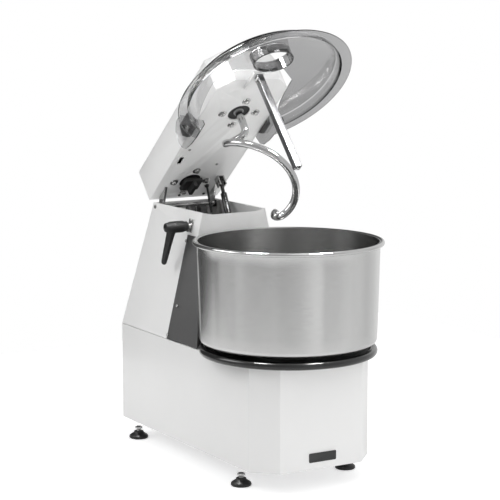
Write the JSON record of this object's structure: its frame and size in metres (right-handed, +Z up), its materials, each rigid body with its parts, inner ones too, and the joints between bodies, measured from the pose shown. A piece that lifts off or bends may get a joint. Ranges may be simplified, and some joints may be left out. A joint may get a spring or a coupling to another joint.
{
  "type": "spiral dough mixer",
  "caption": "Floor-standing spiral dough mixer with a raised tilting head, smoked lid, spiral and breaker bar over a steel bowl on a turntable.",
  "frame": {"origin": "centre of the bounding box, on the floor", "axes": "+Z up, -Y the front where the bowl is, +X to the right of a person who faces the front"},
  "size_m": [0.524, 0.92, 1.225],
  "materials": {
    "white_paint": "white powder coat, semi-gloss",
    "grey_plastic": "dark grey moulded plastic",
    "black_plastic": "black, satin to glossy",
    "black_rubber": "matt rubber",
    "brushed_stainless": "stainless steel brushed round the bowl",
    "bright_steel": "machined steel",
    "polished_steel": "polished round bar",
    "smoked_plastic": "smoked clear plastic, smooth",
    "grey_casting": "painted casting",
    "red_plastic": "red button cap",
    "green_plastic": "green button cap"
  },
  "bodies": {
    "cabinet": {"base_shell": "white_paint", "base_deck": "white_paint", "base_plate": "bright_steel", "badge_plate": "black_plastic", "side_left": "white_paint", "side_right": "white_paint", "column_front": "white_paint", "rear_cover": "white_paint", "fairing_left": "grey_plastic", "fairing_right": "grey_plastic", "foot_front_left": "black_rubber", "foot_front_right": "black_rubber", "foot_rear_left": "black_rubber", "foot_rear_right": "black_rubber", "turntable_housing": "grey_casting", "motor": "grey_casting", "gearbox": "grey_casting", "bowl_chain": "bright_steel", "clutch_bearing_plate": "bright_steel", "hinge_pin": "bright_steel", "hinge_block_left": "bright_steel", "hinge_block_right": "bright_steel", "lever_flange": "bright_steel", "control_panel": "grey_plastic", "electrical_box": "grey_plastic", "cable_gland": "black_plastic", "spring_bracket_column": "bright_steel"},
    "turntable": {"turntable": "grey_casting", "bumper_ring": "black_plastic", "bowl_sprocket": "bright_steel"},
    "bowl": {"bowl": "brushed_stainless", "bowl_foot": "bright_steel"},
    "drive": {"drive_sprocket": "bright_steel"},
    "clutch": {"clutch_shaft": "bright_steel", "lower_clutch": "black_plastic"},
    "lever": {"lever_shaft": "bright_steel", "lock_lever": "black_plastic"},
    "start_button": {"start_button": "green_plastic"},
    "stop_button": {"stop_button": "red_plastic"},
    "timer_knob": {"timer_knob": "black_plastic"},
    "head": {"head_cover": "white_paint", "head_plate": "white_paint", "hinge_eye_left": "bright_steel", "hinge_eye_right": "bright_steel", "clutch_housing": "grey_casting", "spiral_housing": "grey_casting", "head_chain": "bright_steel", "breaker_bar": "bright_steel", "bar_arm": "bright_steel", "lid_hinge_left": "grey_plastic", "lid_hinge_right": "grey_plastic", "spring_bracket_head": "bright_steel"},
    "spiral": {"spiral": "polished_steel", "spiral_sprocket": "bright_steel"},
    "head_clutch": {"upper_clutch": "black_plastic"},
    "lid": {"lid": "smoked_plastic", "feed_collar": "black_plastic"},
    "gas_tube": {"gas_tube": "black_plastic"},
    "gas_rod": {"gas_rod": "polished_steel"},
    "switch_rod": {"switch_rod": "black_plastic"}
  },
  "joints": [
    {"name": "head_lift", "type": "hinge", "parent": "cabinet", "child": "head", "pos_m": [0, 0.37174, 0.6922], "axis": [-1, 0, 0], "range_deg": [-40.8, 0]},
    {"name": "turntable_spin", "type": "hinge", "parent": "cabinet", "child": "turntable", "pos_m": [0, -0.198, 0.3465], "axis": [0, 0, 1], "continuous": true},
    {"name": "bowl_lift", "type": "slide", "parent": "turntable", "child": "bowl", "axis": [0, 0, 1], "range_m": [0, 0.06]},
    {"name": "drive_spin", "type": "hinge", "parent": "cabinet", "child": "drive", "pos_m": [-0.014, 0.28964, 0.274], "axis": [0, 0, 1], "continuous": true},
    {"name": "clutch_spin", "type": "hinge", "parent": "cabinet", "child": "clutch", "pos_m": [-0.014, 0.28964, 0.6775], "axis": [0, 0, 1], "continuous": true},
    {"name": "lever_turn", "type": "hinge", "parent": "cabinet", "child": "lever", "pos_m": [-0.11354, 0.143, 0.662], "axis": [1, 0, 0], "range_deg": [0, 80]},
    {"name": "start_press", "type": "slide", "parent": "cabinet", "child": "start_button", "axis": [-0.9726, 0, -0.2325], "range_m": [0, 0.003], "stiffness_N_per_m": 400},
    {"name": "stop_press", "type": "slide", "parent": "cabinet", "child": "stop_button", "axis": [-0.9726, 0, -0.2325], "range_m": [0, 0.003], "stiffness_N_per_m": 400},
    {"name": "timer_turn", "type": "hinge", "parent": "cabinet", "child": "timer_knob", "pos_m": [0.13075, 0.332, 0.59], "axis": [0.9726, 0, 0.2325], "range_deg": [0, 300]},
    {"name": "spiral_spin", "type": "hinge", "parent": "head", "child": "spiral", "pos_m": [0.006, 0.07721, 0.98341], "axis": [0, 0.6534, 0.757], "continuous": true},
    {"name": "head_clutch_spin", "type": "hinge", "parent": "head", "child": "head_clutch", "pos_m": [-0.014, 0.32788, 0.76704], "axis": [0, 0.6534, 0.757], "continuous": true},
    {"name": "lid_open", "type": "hinge", "parent": "head", "child": "lid", "pos_m": [0, 0.13375, 0.94254], "axis": [-1, 0, 0], "range_deg": [0, 55]},
    {"name": "gas_tube_turn", "type": "hinge", "parent": "head", "child": "gas_tube", "pos_m": [0.08, 0.30649, 0.75909], "axis": [-1, 0, 0], "range_deg": [-0.5, 41.24]},
    {"name": "gas_rod_slide", "type": "slide", "parent": "gas_tube", "child": "gas_rod", "axis": [0, 0.4235, 0.9059], "range_m": [-0.0005, 0.06564]},
    {"name": "switch_rod_turn", "type": "hinge", "parent": "head", "child": "switch_rod", "pos_m": [0.0545, 0.34908, 0.74875], "axis": [-1, 0, 0], "range_deg": [-0.5, 41.3]}
  ],
  "couplings": [
    {"joint": "drive_spin", "follows": "turntable_spin", "ratio": 4},
    {"joint": "clutch_spin", "follows": "turntable_spin", "ratio": 8},
    {"joint": "head_clutch_spin", "follows": "spiral_spin", "ratio": 2},
    {"joint": "gas_tube_turn", "follows": "head_lift", "ratio": -0.99851},
    {"joint": "gas_rod_slide", "follows": "head_lift", "m_per_rad": -0.09148},
    {"joint": "switch_rod_turn", "follows": "head_lift", "ratio": -1}
  ]
}
